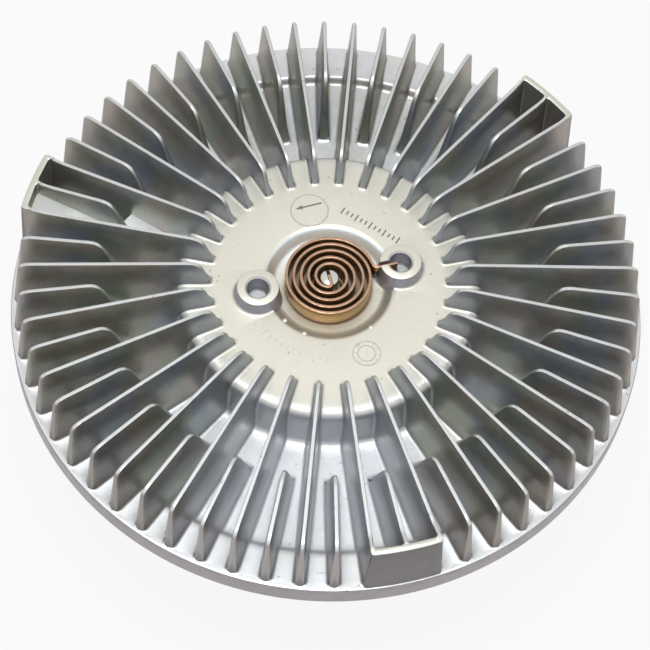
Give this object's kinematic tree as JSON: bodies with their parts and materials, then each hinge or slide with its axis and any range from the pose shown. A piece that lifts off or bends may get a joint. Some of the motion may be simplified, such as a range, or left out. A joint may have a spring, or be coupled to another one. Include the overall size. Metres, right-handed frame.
{
  "type": "viscous fan clutch",
  "caption": "Round finned viscous fan clutch: cast cover with radial fins, coil of bimetal strip on the front, ribbed body with fan studs, threaded drive hub at the rear.",
  "frame": {"origin": "centre of the drive hub's rear end face, on the clutch's axis", "axes": "+Z along the axis, from the drive hub at the rear to the finned cover and coil at the front; the coil's anchor boss lies 17 degrees from +X towards +Y"},
  "size_m": [0.228, 0.228, 0.0967],
  "materials": {
    "cast_cover": "cast and tumbled",
    "cast_body": "cast, machined seats",
    "turned_plate": "turned",
    "hub_steel": "machined",
    "bearing_steel": "ground",
    "spring_steel": "oiled black",
    "plated_steel": "zinc plated",
    "valve_steel": "polished",
    "bimetal": "rolled strip, copper brown",
    "bronze": "sintered",
    "seal_rubber": "moulded",
    "brown_nylon": "moulded"
  },
  "bodies": {
    "drive": {"drive_shaft": "hub_steel", "clutch_plate": "turned_plate", "plate_retaining_ring": "spring_steel", "bearing_inner_race": "bearing_steel"},
    "ball_cage": {"bearing_cage": "brown_nylon", "bearing_ball_1": "bearing_steel", "bearing_ball_2": "bearing_steel", "bearing_ball_3": "bearing_steel", "bearing_ball_4": "bearing_steel", "bearing_ball_5": "bearing_steel", "bearing_ball_6": "bearing_steel", "bearing_ball_7": "bearing_steel", "bearing_ball_8": "bearing_steel", "bearing_ball_9": "bearing_steel"},
    "housing": {"rear_body": "cast_body", "front_cover": "cast_cover", "cover_seal_ring": "seal_rubber", "bearing_outer_race": "bearing_steel", "bearing_seal_front": "seal_rubber", "bearing_seal_rear": "seal_rubber", "bearing_clip": "spring_steel", "separator_plate": "plated_steel", "wiper": "brown_nylon", "valve_bushing": "bronze", "bimetal_coil": "bimetal", "fan_stud_1": "plated_steel", "fan_stud_2": "plated_steel", "fan_stud_3": "plated_steel", "fan_stud_4": "plated_steel", "separator_screw_1": "plated_steel", "separator_screw_2": "plated_steel", "separator_screw_3": "plated_steel", "separator_screw_4": "plated_steel"},
    "valve": {"valve_shaft": "valve_steel", "valve_arm": "valve_steel", "valve_seal_ring": "seal_rubber"}
  },
  "joints": [
    {"name": "housing_spin", "type": "hinge", "parent": "drive", "child": "housing", "pos_m": [0, 0, 0.0385], "axis": [0, 0, 1], "continuous": true},
    {"name": "cage_spin", "type": "hinge", "parent": "drive", "child": "ball_cage", "pos_m": [0, 0, 0.0385], "axis": [0, 0, 1], "continuous": true},
    {"name": "valve_turn", "type": "hinge", "parent": "housing", "child": "valve", "pos_m": [0, 0, 0.076], "axis": [0, 0, 1], "range_deg": [0, 35], "stiffness_Nm_per_rad": 0.01, "deforming": ["bimetal_coil"]}
  ],
  "couplings": [
    {"joint": "cage_spin", "follows": "housing_spin", "ratio": 0.6037}
  ]
}
